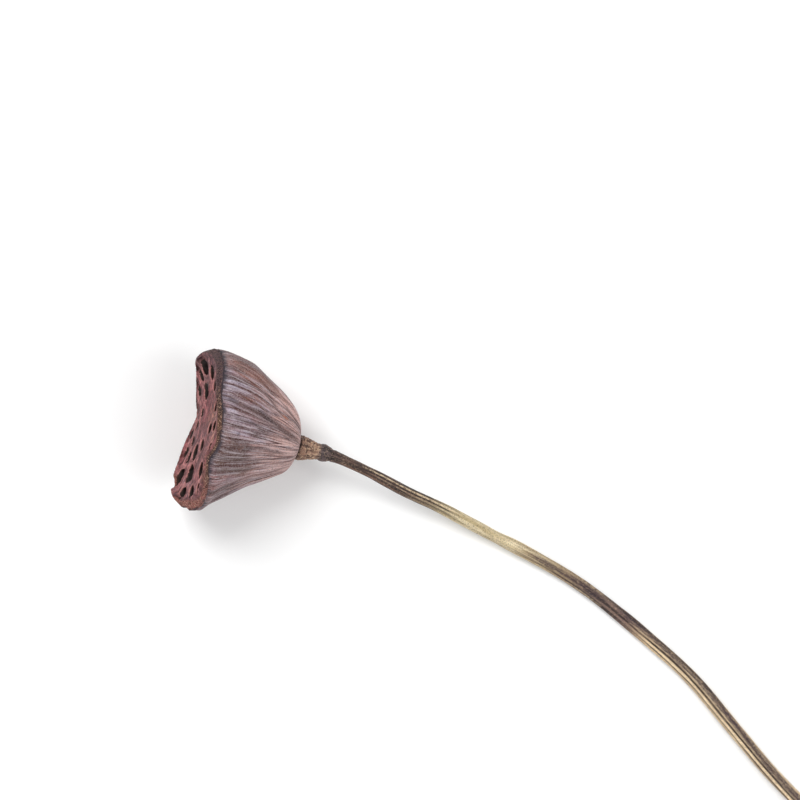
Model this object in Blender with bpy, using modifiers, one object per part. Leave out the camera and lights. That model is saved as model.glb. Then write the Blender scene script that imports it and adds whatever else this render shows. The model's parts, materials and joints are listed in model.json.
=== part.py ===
# A dried lotus seed pod with its cut stem, lying on its side.
# The pod and its seeds are shaped upright, with the stem's end at the bottom
# and the seed face on top, and are then moved, point by point, to how they lie.
import math

import bmesh
import bpy
from mathutils import Matrix, Vector

mm = 0.001

# Driving dimensions
pod_height = 55.1 * mm          # collar to the top of the rim, on average
rim_radius = 44.5 * mm
face_radius = 38.6 * mm         # the flat net inside the rim
face_height = 53.6 * mm
face_dish = 1.4 * mm            # how far the middle of the face is sunk
lean_tilt = math.radians(12)    # how far the seed face looks up as the pod lies
pod_foot = Vector((-52.8, -1.0, 30.6)) * mm   # where the collar meets the pod, as it lies
floor_blend = 0.5 * mm          # how softly the flat spots run out
seam = 0.3 * mm                 # gap between pieces that touch

wall_steps = 144
cell_steps = 12
stem_steps = 28
stem_length = 396.0 * mm

# Wall, from the collar up: height, radius, and how much wider the pod's
# right side is there than its left one, as a share of the radius (mm, mm, share)
wall_shape = [
    (0.0, 6.9, -0.02),
    (2.2, 13.3, -0.08),
    (5.6, 18.0, -0.09),
    (13.8, 24.3, -0.09),
    (24.0, 30.4, -0.07),
    (33.6, 37.0, -0.04),
    (41.3, 41.0, 0.01),
    (47.6, 44.0, 0.06),
    (52.2, 44.5, 0.08),
]
# Margin, from the sharp edge where the wall ends over to the face (mm, mm)
rim_shape = [
    (53.0, 43.8),
    (54.0, 42.4),
    (55.1, 40.7),
    (54.6, 39.4),
]
rim_sag = 2.6 * mm              # the edge drops this far at the pod's two sides
rim_curl = 2.0 * mm             # the margin curls back this far along its lower left
# How the rim waves: angle round the pod, from where it lies, and rise (degrees, mm)
rim_wave = [
    (-180, 1.5), (-174, 2.2), (-155, 5.0), (-130, 3.4), (-105, 1.0), (-90, 0.8),
    (-62, 9.0), (-45, 6.6), (-31, 4.0), (-14, 0.2), (-4, -2.9), (12, -0.9), (30, 2.0),
    (50, 6.8), (64, 8.8), (78, 7.6), (92, 2.6), (110, -0.6), (127, -0.3), (140, 1.2),
    (155, 3.6), (168, 0.6), (180, 1.5),
]

# Seed cells on the face: down, to the right, and the mouth's radius (mm)
cell_places = [
    (22.5, -26.5, 3.4), (13.0, -31.5, 4.0), (1.5, -29.5, 3.4), (-6.0, -22.5, 2.7),
    (30.5, -16.5, 2.9), (34.0, -6.5, 2.8), (14.5, -17.5, 4.4), (18.5, -5.0, 2.3),
    (25.0, 2.5, 2.5), (-12.0, 2.0, 2.8), (-23.0, 0.0, 2.5), (33.5, 7.5, 2.8),
    (23.5, 11.0, 2.5), (-2.0, 11.5, 2.9), (-29.0, 12.0, 2.6), (9.5, 16.0, 4.0),
    (20.0, 19.5, 2.8), (30.5, 17.5, 2.8), (-13.5, 23.5, 3.6), (6.0, 26.2, 4.2),
    (20.5, 31.0, 4.6), (-17.0, 33.0, 2.6), (-5.0, 35.0, 2.7), (5.5, 36.6, 2.6),
    (-27.5, 22.0, 2.8), (-19.0, -22.0, 2.8), (-30.5, -12.0, 2.7), (-16.0, -10.5, 2.6),
]
seed_room = 4.0 * mm            # a grown cell is at least this wide inside
shut_mouth = 2.5 * mm           # a cell with a smaller mouth never grew
cell_depth = 14.0 * mm
cell_fan = 92.0 * mm            # the cells' axes meet this far under the face
lip_rise = 0.6 * mm
seed_radius = 3.3 * mm
seed_length = 10.4 * mm

# Stem, behind the pod: distance from the collar's seam and radius (mm)
stem_shape = [
    (0.0, 6.8), (3.0, 6.7), (6.5, 5.7), (10.5, 4.7), (13.2, 4.3), (14.6, 4.8), (16.8, 4.7),
    (19.0, 3.9), (22.0, 3.2), (31.0, 2.75), (42.0, 2.7), (55.0, 2.95), (80.0, 2.9),
    (104.0, 3.25), (116.0, 3.25), (128.0, 3.0), (140.0, 3.5), (160.0, 3.2), (200.0, 3.3),
    (260.0, 3.45), (330.0, 3.5), (396.0, 3.4),
]
# Route of the stem's middle line, from the seam: back, to the right, height (mm)
stem_route = [
    (0.0, 0.0, 30.6), (-18.7, -0.2, 26.6), (-41.4, 3.5, 21.8), (-64.6, 9.0, 16.9),
    (-87.3, 13.3, 12.2), (-115.3, 20.1, 7.4), (-146.0, 27.3, 4.3), (-174.5, 36.2, 3.2),
    (-206.7, 50.4, 2.9), (-241.4, 68.2, 3.3), (-270.3, 88.5, 3.8), (-301.0, 110.4, 3.8),
    (-345.0, 137.0, 3.0),
]


# Removes what the scene starts with
for thing in list(bpy.data.objects):
    bpy.data.objects.remove(thing, do_unlink=True)

pod_parts = bpy.data.collections.new("dried_lotus_seed_pod")
cutters = bpy.data.collections.new("cutters")
bpy.context.scene.collection.children.link(pod_parts)
bpy.context.scene.collection.children.link(cutters)


def smooth_route(points, per_span):
    """Points on a smooth curve through the given ones."""
    points = [Vector(point) for point in points]
    ends = [2 * points[0] - points[1]] + points + [2 * points[-1] - points[-2]]
    route = []
    for start in range(1, len(ends) - 2):
        a, b, c, d = ends[start - 1:start + 3]
        for step in range(per_span):
            t = step / per_span
            route.append(
                0.5 * ((2 * b) + (c - a) * t + (2 * a - 5 * b + 4 * c - d) * t ** 2
                       + (3 * b - a - 3 * c + d) * t ** 3)
            )
    route.append(points[-1])
    return route


def read_off(table, where, column):
    """The value in a column of the table, at a place along its first column."""
    if where <= table[0][0]:
        return table[0][column]
    for low, high in zip(table, table[1:]):
        if where <= high[0]:
            share = (where - low[0]) / (high[0] - low[0])
            return low[column] + share * (high[column] - low[column])
    return table[-1][column]


def ease(value, low, high):
    """0 under low, 1 over high, and a soft step between."""
    share = min(max((value - low) / (high - low), 0.0), 1.0)
    return share * share * (3 - 2 * share)


def material(name, colour, roughness):
    surface = bpy.data.materials.new(name)
    surface.use_nodes = True
    shader = surface.node_tree.nodes["Principled BSDF"]
    shader.inputs["Base Color"].default_value = (*colour, 1.0)
    shader.inputs["Roughness"].default_value = roughness
    shader.inputs["Metallic"].default_value = 0.0
    return surface


def add_object(name, mesh, collection):
    thing = bpy.data.objects.new(name, mesh)
    collection.objects.link(thing)
    if collection is cutters:
        thing.hide_render = True
        thing.display_type = "WIRE"
    return thing


def baked(thing):
    """The object's mesh with its modifiers applied."""
    shape = thing.evaluated_get(bpy.context.evaluated_depsgraph_get())
    mesh = bpy.data.meshes.new_from_object(shape)
    mesh.name = thing.name
    return mesh


def turned(name, outline, steps):
    """A closed mesh turned from an outline of (radius, height), listed top to bottom."""
    profile = bpy.data.meshes.new(name)
    corners = [(radius, 0.0, height) for radius, height in outline]
    profile.from_pydata(corners, [(i, i + 1) for i in range(len(corners) - 1)], [])
    thing = add_object(name, profile, cutters)
    screw = thing.modifiers.new("turn", "SCREW")
    screw.axis = "Z"
    screw.angle = 2 * math.pi
    screw.steps = steps
    screw.render_steps = steps
    screw.use_merge_vertices = True
    screw.merge_threshold = 0.00001
    mesh = baked(thing)
    bpy.data.objects.remove(thing, do_unlink=True)
    shape = bmesh.new()
    shape.from_mesh(mesh)
    open_edges = [edge for edge in shape.edges if edge.is_boundary]
    bmesh.ops.holes_fill(shape, edges=open_edges, sides=0)
    bmesh.ops.recalc_face_normals(shape, faces=shape.faces)
    shape.to_mesh(mesh)
    shape.free()
    return mesh


def combine(thing, operation, others):
    """Joins or cuts the object by all the others, and removes them."""
    tool = thing.modifiers.new(operation.lower(), "BOOLEAN")
    tool.operation = operation
    tool.operand_type = "COLLECTION"
    tool.collection = others
    tool.solver = "EXACT"
    mesh = baked(thing)
    thing.modifiers.clear()
    thing.data = mesh
    for other in list(others.objects):
        bpy.data.objects.remove(other, do_unlink=True)


def on_floor(height):
    """Heights under the floor are pressed flat, and run softly into those above it."""
    if height >= floor_blend:
        return height
    if height <= -floor_blend:
        return 0.0
    return (height + floor_blend) ** 2 / (4 * floor_blend)


def wrinkles(angle, height, radius):
    """Ridges that run up the wall, deeper towards the rim."""
    drift = 0.5 * math.sin(2 * angle + 0.6) + 0.9 * math.sin(3 * angle + height / (30 * mm))
    fine = math.cos(36 * angle + drift) * (0.55 + 0.45 * math.sin(5 * angle + 1.0))
    folds = math.cos(11 * angle + 1.5 * math.sin(2 * angle)) * ease(height, 3 * mm, 20 * mm)
    size = ease(radius, 6 * mm, 30 * mm)
    return (0.42 * fine + 0.45 * folds) * size * mm


rim_curve = smooth_route(rim_wave, 4)


def laid(point):
    """Where a point of the upright pod is on the leaning pod as it lies."""
    across, right, height = point
    radius = math.hypot(across, right)
    angle = math.atan2(right, across)
    up = height / pod_height
    out = radius / rim_radius
    side = math.sin(angle) * abs(math.sin(angle))
    wall = read_off(wall_shape, height / mm, 1) * mm
    lean = read_off(wall_shape, height / mm, 2) * side * min(1.0, radius / (20 * mm)) ** 2
    lobes = math.cos(7 * (angle - math.radians(155)))
    at_rim = min(up, 1.0) ** 4 * out ** 4
    rise = read_off(rim_curve, math.degrees(angle), 1) * mm
    grown = radius * (1 + lean) - 0.9 * mm * lobes * at_rim
    grown += wrinkles(angle, height, radius) * ease(radius / wall, 0.93, 1.0)
    grown_up = height + up * out ** 2 * (-4.5 * side - 1.4 * math.cos(2 * angle)) * mm
    grown_up += rise * at_rim
    edge = ease(height, 44 * mm, 51 * mm) * (1 - ease(height, 52.4 * mm, 54.6 * mm))
    edge *= ease(out, 0.86, 0.93)
    grown_up -= rim_sag * edge * math.sin(angle) ** 2
    curl = ease(math.cos(angle + math.radians(35)), 0.5, 0.9)
    grown_up -= rim_curl * curl * ease(out, 0.85, 0.95) * ease(height, 44 * mm, 51 * mm)
    grown_up -= face_dish * ease(height, 36 * mm, 50 * mm) * (1 - min(out / 0.87, 1.0) ** 2)
    axis = Vector((math.cos(lean_tilt), 0.0, math.sin(lean_tilt)))
    down = Vector((math.sin(lean_tilt), 0.0, -math.cos(lean_tilt)))
    place = pod_foot + axis * grown_up
    place += down * (grown * math.cos(angle))
    place.y += grown * math.sin(angle)
    place.z = on_floor(place.z)
    return place


def lay_down(mesh):
    """Splits the mesh into triangles and moves it to where it lies."""
    shape = bmesh.new()
    shape.from_mesh(mesh)
    bmesh.ops.triangulate(shape, faces=shape.faces)
    for vertex in shape.verts:
        vertex.co = laid(vertex.co)
    shape.to_mesh(mesh)
    shape.free()


def cell_axis(mouth):
    """The way a cell looks out of the face."""
    return (mouth - Vector((0, 0, face_height - cell_fan))).normalized()


def make_pod():
    """The spongy receptacle, with its rim, raised lips and open seed cells."""
    wall = smooth_route(wall_shape, 2)
    outline = [(face_radius, face_height)]
    outline += [(radius * mm, height * mm) for height, radius in reversed(rim_shape)]
    outline += [(point[1] * mm, point[0] * mm) for point in reversed(wall)]
    pod = add_object("pod", turned("pod", outline, wall_steps), pod_parts)

    lips = bpy.data.collections.new("lips")
    hollows = bpy.data.collections.new("hollows")
    for down, right, wide in cell_places:
        mouth = Vector((down * mm, right * mm, face_height))
        wide = wide * mm
        mesh = bpy.data.meshes.new("lip")
        shape = bmesh.new()
        bmesh.ops.create_cone(
            shape, cap_ends=True, segments=cell_steps, radius1=wide + 2.6 * mm,
            radius2=wide + 0.9 * mm, depth=lip_rise * 2, matrix=Matrix.Translation(mouth),
        )
        shape.to_mesh(mesh)
        shape.free()
        lips.objects.link(bpy.data.objects.new("lip", mesh))

        grown = wide > shut_mouth
        room = max(wide + 0.4 * mm, seed_room) if grown else wide + 0.4 * mm
        depth = cell_depth if grown else cell_depth * 0.6
        outline = [
            (0.0, 3.0 * mm),
            (wide + 1.2 * mm, 3.0 * mm),
            (wide, -0.6 * mm),
            (room, -0.46 * depth),
            (room - 0.5 * mm, -0.82 * depth),
            (0.0, -depth),
        ]
        mesh = turned("hollow", outline, cell_steps)
        mesh.transform(cell_axis(mouth).to_track_quat("Z", "Y").to_matrix().to_4x4())
        mesh.transform(Matrix.Translation(mouth))
        hollows.objects.link(bpy.data.objects.new("hollow", mesh))
    combine(pod, "UNION", lips)
    combine(pod, "DIFFERENCE", hollows)
    for extra in (lips, hollows):
        bpy.data.collections.remove(extra)

    lay_down(pod.data)
    pod.data.materials.clear()
    pod.data.materials.append(material("dried_pod", (0.27, 0.19, 0.19), 0.75))


def make_seeds():
    """Loose, shrunken seeds, held by every other cell whose mouth is too narrow for one."""
    coat = material("dried_seed", (0.06, 0.035, 0.025), 0.5)
    narrow = [place for place in cell_places if shut_mouth < place[2] * mm <= seed_radius]
    for number, (down, right, wide) in enumerate(narrow[::2], start=1):
        mouth = Vector((down * mm, right * mm, face_height))
        axis = cell_axis(mouth)
        mesh = bpy.data.meshes.new("seed")
        shape = bmesh.new()
        bmesh.ops.create_uvsphere(shape, u_segments=10, v_segments=7, radius=1.0)
        for vertex in shape.verts:
            vertex.co.z *= 1 + 0.12 * ease(vertex.co.z, 0.8, 1.0)   # the small tip
        size = (seed_radius, seed_radius, seed_length / 2.12)
        bmesh.ops.scale(shape, vec=size, verts=shape.verts)
        shape.to_mesh(mesh)
        shape.free()
        lowest = (Vector((1, 0, 0)) - axis * axis.x).normalized()
        mesh.transform(axis.to_track_quat("Z", "Y").to_matrix().to_4x4())
        mesh.transform(Matrix.Translation(mouth - axis * 7.9 * mm + lowest * 0.2 * mm))
        lay_down(mesh)
        mesh.materials.append(coat)
        add_object(f"seed_{number:02d}", mesh, pod_parts)


def make_stem():
    """The stem with the scarred, swollen collar that it carries the pod on."""
    start = Vector((pod_foot.x, pod_foot.y, 0.0))
    route = [start + point * mm for point in smooth_route(stem_route, 24)]
    lengths = [0.0]
    for before, after in zip(route, route[1:]):
        lengths.append(lengths[-1] + (after - before).length)
    reach = lengths[-1] - 0.001 * mm

    girths = smooth_route(stem_shape, 3)
    shares = [min(girth[0] * mm / stem_length, 1.0) for girth in girths]
    outline = [(girth[1] * mm, -share * reach) for girth, share in zip(girths, shares)]
    outline[0] = (outline[0][0], -seam)
    stem = add_object("stem", turned("stem", outline, stem_steps), pod_parts)

    shape = bmesh.new()
    shape.from_mesh(stem.data)
    bmesh.ops.triangulate(shape, faces=shape.faces)
    upward = Vector((0, 0, 1))
    for vertex in shape.verts:
        run = -vertex.co.z
        radius = math.hypot(vertex.co.x, vertex.co.y)
        angle = math.atan2(vertex.co.y, vertex.co.x)
        ribs = math.cos(7 * angle + run / (55 * mm)) * ease(run, 12 * mm, 24 * mm)
        scars = math.cos(14 * angle) * (1 - ease(run, 8 * mm, 15 * mm)) * ease(run, 0, 3 * mm)
        radius += (0.3 * ribs + 0.22 * scars) * mm
        radius *= 1 + 0.06 * math.cos(2 * angle - run / (90 * mm)) * ease(run, 20 * mm, 40 * mm)
        leg = 0
        while leg < len(lengths) - 2 and lengths[leg + 1] < run:
            leg += 1
        share = (run - lengths[leg]) / (lengths[leg + 1] - lengths[leg])
        here = route[leg].lerp(route[leg + 1], share)
        before = route[max(leg - 1, 0)]
        after = route[min(leg + 2, len(route) - 1)]
        along = (route[leg + 1] - before).lerp(after - route[leg], share).normalized()
        if leg == 0:
            along = Vector((-math.cos(lean_tilt), 0.0, -math.sin(lean_tilt)))
        sideways = upward.cross(along).normalized()
        over = along.cross(sideways)
        place = here + sideways * radius * math.sin(angle) + over * radius * math.cos(angle)
        place.z = on_floor(place.z)
        vertex.co = place
    shape.to_mesh(stem.data)
    shape.free()
    stem.data.materials.append(material("dried_stem", (0.22, 0.15, 0.11), 0.7))


make_pod()
make_seeds()
make_stem()
for part in pod_parts.objects:
    part.data.shade_smooth()
    part.data.set_sharp_from_angle(angle=math.radians(50))
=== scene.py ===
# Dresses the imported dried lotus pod: finer pod, seeds and stem with their finishes,
# a pale floor, soft light, and a camera straight above.
import json
import math

import bmesh
import bpy
from mathutils import Matrix, Vector, noise

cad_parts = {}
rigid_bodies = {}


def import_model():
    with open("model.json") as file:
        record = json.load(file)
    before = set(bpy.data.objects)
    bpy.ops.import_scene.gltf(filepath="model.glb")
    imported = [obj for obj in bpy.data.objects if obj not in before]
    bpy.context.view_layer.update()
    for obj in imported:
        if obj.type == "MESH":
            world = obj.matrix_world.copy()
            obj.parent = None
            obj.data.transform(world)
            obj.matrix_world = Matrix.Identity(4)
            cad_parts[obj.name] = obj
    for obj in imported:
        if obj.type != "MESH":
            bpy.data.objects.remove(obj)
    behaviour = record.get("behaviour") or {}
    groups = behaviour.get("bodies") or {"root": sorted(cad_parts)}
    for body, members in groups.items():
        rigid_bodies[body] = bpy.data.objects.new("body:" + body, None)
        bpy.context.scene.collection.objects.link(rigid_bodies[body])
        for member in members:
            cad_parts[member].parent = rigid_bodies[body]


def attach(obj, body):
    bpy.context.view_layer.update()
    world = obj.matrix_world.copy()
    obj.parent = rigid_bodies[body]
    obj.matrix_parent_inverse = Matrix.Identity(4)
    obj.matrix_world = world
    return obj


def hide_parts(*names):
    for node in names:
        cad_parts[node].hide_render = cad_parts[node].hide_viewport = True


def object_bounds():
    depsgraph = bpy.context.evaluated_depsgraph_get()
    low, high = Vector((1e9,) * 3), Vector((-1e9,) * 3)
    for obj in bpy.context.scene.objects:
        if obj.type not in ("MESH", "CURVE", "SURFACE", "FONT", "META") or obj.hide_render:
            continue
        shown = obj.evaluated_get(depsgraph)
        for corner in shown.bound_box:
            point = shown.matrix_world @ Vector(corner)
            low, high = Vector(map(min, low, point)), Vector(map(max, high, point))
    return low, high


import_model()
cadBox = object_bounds()
mm = 0.001

# How the pod lies: its foot, where the stem joins it, and how far its face looks up
lie = {
    "foot": Vector((-52.8, -1.0, 30.6)) * mm,
    "tilt": math.radians(12),
    "floorBlend": 0.5 * mm,
}


def smoothRoute(points, perSpan):
    # Points on a smooth curve through the given ones
    points = [Vector(point) for point in points]
    ends = [2 * points[0] - points[1]] + points + [2 * points[-1] - points[-2]]
    route = []
    for start in range(1, len(ends) - 2):
        a, b, c, d = ends[start - 1:start + 3]
        for step in range(perSpan):
            t = step / perSpan
            route.append(
                0.5 * ((2 * b) + (c - a) * t + (2 * a - 5 * b + 4 * c - d) * t ** 2
                       + (3 * b - a - 3 * c + d) * t ** 3)
            )
    route.append(points[-1])
    return route


def readOff(table, where, column):
    # The value in a column, at a place along the table's first column
    if where <= table[0][0]:
        return table[0][column]
    for low, high in zip(table, table[1:]):
        if where <= high[0]:
            share = (where - low[0]) / (high[0] - low[0])
            return low[column] + share * (high[column] - low[column])
    return table[-1][column]


def ease(value, low, high):
    # 0 at low, 1 at high, and a soft step between
    share = min(max((value - low) / (high - low), 0.0), 1.0)
    return share * share * (3 - 2 * share)


def onFloor(height):
    # Presses flat what would be under the floor
    blend = lie["floorBlend"]
    if height >= blend:
        return height
    if height <= -blend:
        return 0.0
    return (height + blend) ** 2 / (4 * blend)


def inBox(place):
    # Holds a point inside the CAD model's box, whose bottom is the floor
    return Vector([min(max(value, low), high) for value, low, high in zip(place, *cadBox)])


def grit(x, y, z, octaves=3):
    # Rough noise, about -1 to 1
    return noise.fractal(Vector((x, y, z)), 0.8, 2.0, octaves, noise_basis="PERLIN_ORIGINAL") * 1.6


def newObject(name, shape):
    # Puts a bmesh into the scene as an object, and frees it
    mesh = bpy.data.meshes.new(name)
    shape.to_mesh(mesh)
    shape.free()
    made = bpy.data.objects.new(name, mesh)
    bpy.context.scene.collection.objects.link(made)
    return made


def piece(name, shape, materials, slot, *nodes):
    # A finished mesh that stands for CAD nodes and rides with the body
    made = newObject(name, shape)
    for finish in materials:
        made.data.materials.append(finish)
    made.data.shade_smooth()
    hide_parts(*nodes)
    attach(made, "root")


def spun(outline, steps):
    # A closed bmesh spun from (radius, height) points that start and end on the axis
    shape = bmesh.new()
    corners = [shape.verts.new((radius, 0.0, height)) for radius, height in outline]
    edges = [shape.edges.new(pair) for pair in zip(corners, corners[1:])]
    bmesh.ops.spin(
        shape, geom=corners + edges, cent=(0, 0, 0), axis=(0, 0, 1), dvec=(0, 0, 0),
        angle=2 * math.pi, steps=steps, use_merge=True, use_duplicate=False,
    )
    bmesh.ops.remove_doubles(shape, verts=shape.verts, dist=0.002 * mm)
    bmesh.ops.recalc_face_normals(shape, faces=shape.faces)
    return shape


def aimed(shape, place, axis):
    # Turns a bmesh's +Z to the axis, and moves it to the place
    turnTo = axis.to_track_quat("Z", "Y").to_matrix().to_4x4()
    bmesh.ops.transform(shape, matrix=Matrix.Translation(place) @ turnTo, verts=shape.verts)
    return shape


def carved(shape, hollows):
    # The shape with the hollows cut out of it, each of them a closed bmesh
    whole = newObject("whole", shape)
    tools = bpy.data.collections.new("hollows")
    bpy.context.scene.collection.children.link(tools)
    for hollow in hollows:
        tools.objects.link(newObject("hollow", hollow))
    cut = whole.modifiers.new("cut", "BOOLEAN")
    cut.operation = "DIFFERENCE"
    cut.operand_type = "COLLECTION"
    cut.collection = tools
    cut.solver = "MANIFOLD"
    cutWhole = whole.evaluated_get(bpy.context.evaluated_depsgraph_get())
    result = bmesh.new()
    result.from_mesh(cutWhole.to_mesh())
    for part in [whole, *tools.objects]:
        bpy.data.objects.remove(part, do_unlink=True)
    bpy.data.collections.remove(tools)
    return result


def turnedFrom(angle, middle):
    # Degrees from a middle to an angle in radians, -180 to 180
    return (math.degrees(angle) - middle + 180) % 360 - 180


def shade(red, green, blue):
    # A colour as it looks on a screen, 0 to 255, made linear for a shader
    linear = []
    for level in (red / 255, green / 255, blue / 255):
        linear.append(level / 12.92 if level <= 0.04045 else ((level + 0.055) / 1.055) ** 2.4)
    return (*linear, 1.0)


def node(tree, kind, sockets=None, **settings):
    # A new node, with links or plain values put into its sockets
    made = tree.nodes.new(kind)
    for name, value in settings.items():
        setattr(made, name, value)
    for name, value in (sockets or {}).items():
        if isinstance(value, bpy.types.NodeSocket):
            tree.links.new(value, made.inputs[name])
        else:
            made.inputs[name].default_value = value
    return made


def maths(tree, operation, first, second, third=None):
    # What a Math node gives
    values = {0: first, 1: second}
    if third is not None:
        values[2] = third
    return node(tree, "ShaderNodeMath", values, operation=operation).outputs[0]


def ranged(tree, value, low, high, out=(0.0, 1.0)):
    # Goes softly over the out range while the value goes from low to high
    sockets = {"Value": value, "From Min": low, "From Max": high, "To Min": out[0], "To Max": out[1]}
    return node(tree, "ShaderNodeMapRange", sockets, interpolation_type="SMOOTHSTEP").outputs[0]


def tinted(tree, under, over, mask):
    # One colour laid over another where the mask is
    sockets = {"Factor": mask, 6: under, 7: over}
    return node(tree, "ShaderNodeMix", sockets, data_type="RGBA").outputs[2]


def layered(tree, tones, base, *layers):
    # Named tones laid in turn over a base, which is a tone too or a colour from a node.
    # Each layer is a tone, its mask, and how much of the mask counts
    colour = shade(*tones[base]) if isinstance(base, str) else base
    for tone, mask, share in layers:
        if share != 1.0:
            mask = maths(tree, "MULTIPLY", mask, share)
        colour = tinted(tree, colour, shade(*tones[tone]), mask)
    return colour


def cloudy(tree, place, scale, detail, roughness, waver=0.0):
    # A Noise Texture's grey
    sockets = {"Vector": place, "Scale": scale, "Detail": detail, "Roughness": roughness,
               "Distortion": waver}
    return node(tree, "ShaderNodeTexNoise", sockets).outputs[0]


def read(tree, attribute, output="Fac"):
    # What a vertex attribute holds
    return node(tree, "ShaderNodeAttribute", attribute_name=attribute).outputs[output]


def readThree(tree, attribute):
    # The three numbers of a vertex attribute, as X, Y and Z
    return node(tree, "ShaderNodeSeparateXYZ", {0: read(tree, attribute, "Vector")}).outputs


def newGroup(name, inputs, outputs):
    # A node group, and the sockets inside it that its inputs come from and its outputs go to
    group = bpy.data.node_groups.new(name, "ShaderNodeTree")
    for title, kind, start in inputs:
        socket = group.interface.new_socket(title, in_out="INPUT", socket_type="NodeSocket" + kind)
        if start is not None:
            socket.default_value = start
    for title, kind in outputs:
        group.interface.new_socket(title, in_out="OUTPUT", socket_type="NodeSocket" + kind)
    entry = group.nodes.new("NodeGroupInput").outputs
    leave = group.nodes.new("NodeGroupOutput").inputs
    return group, entry, leave


def placed(tree, group, **sockets):
    # A group put into a material with its own values
    return node(tree, "ShaderNodeGroup", sockets, node_tree=group).outputs


def makeFibreGrain():
    # Long drawn-out fibres: many across, few along
    group, entry, leave = newGroup(
        "fibreGrain",
        [("Vector", "Vector", None), ("Across", "Float", 20.0), ("Along", "Float", 2.0),
         ("Waver", "Float", 0.3)],
        [("Bands", "Float"), ("Threads", "Float"), ("Lines", "Float"), ("Height", "Float")],
    )
    stretch = node(group, "ShaderNodeCombineXYZ",
                   {"X": entry["Across"], "Y": entry["Across"], "Z": entry["Along"]}).outputs[0]
    place = node(group, "ShaderNodeVectorMath", {0: entry["Vector"], 1: stretch},
                 operation="MULTIPLY").outputs[0]
    bands = cloudy(group, place, 0.33, 3.0, 0.55, entry["Waver"])
    threads = cloudy(group, place, 1.0, 4.0, 0.65, entry["Waver"])
    folds = cloudy(group, place, 0.62, 1.5, 0.5, entry["Waver"])
    group.links.new(ranged(group, bands, 0.34, 0.66), leave["Bands"])
    group.links.new(ranged(group, threads, 0.32, 0.68), leave["Threads"])
    offMiddle = maths(group, "ABSOLUTE", maths(group, "SUBTRACT", folds, 0.5), 0.0)
    lines = ranged(group, offMiddle, 0.05, 0.0)      # thin, where the noise crosses its middle
    group.links.new(lines, leave["Lines"])
    both = maths(group, "MULTIPLY_ADD", bands, 0.7, threads)
    group.links.new(maths(group, "MULTIPLY_ADD", lines, -0.5, both), leave["Height"])
    return group


def makeSpecks():
    # Small specks and flecks
    group, entry, leave = newGroup(
        "specks",
        [("Vector", "Vector", None), ("Scale", "Float", 900.0), ("Cover", "Float", 0.1)],
        [("Mask", "Float"), ("Height", "Float")],
    )
    speck = cloudy(group, entry["Vector"], entry["Scale"], 2.0, 0.6)
    low = maths(group, "SUBTRACT", 0.72, entry["Cover"])
    high = maths(group, "ADD", low, 0.08)
    group.links.new(ranged(group, speck, low, high), leave["Mask"])
    group.links.new(speck, leave["Height"])
    return group


def makePatches():
    # Broad soft patches
    group, entry, leave = newGroup(
        "patches",
        [("Vector", "Vector", None), ("Scale", "Float", 40.0), ("Start", "Float", 0.45),
         ("End", "Float", 0.6)],
        [("Mask", "Float")],
    )
    cloud = cloudy(group, entry["Vector"], entry["Scale"], 3.0, 0.6)
    group.links.new(ranged(group, cloud, entry["Start"], entry["End"]), leave["Mask"])
    return group


fibreGrain = makeFibreGrain()
specks = makeSpecks()
patches = makePatches()


def newFinish(name):
    # A material, its nodes and its shader
    finish = bpy.data.materials.new(name)
    finish.use_nodes = True
    tree = finish.node_tree
    return finish, tree, tree.nodes["Principled BSDF"]


def roughen(tree, shader, height, strength, depth):
    # Bump from a height, over the depth given
    bump = node(tree, "ShaderNodeBump", {"Strength": strength, "Distance": depth, "Height": height})
    tree.links.new(bump.outputs[0], shader.inputs["Normal"])


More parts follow.
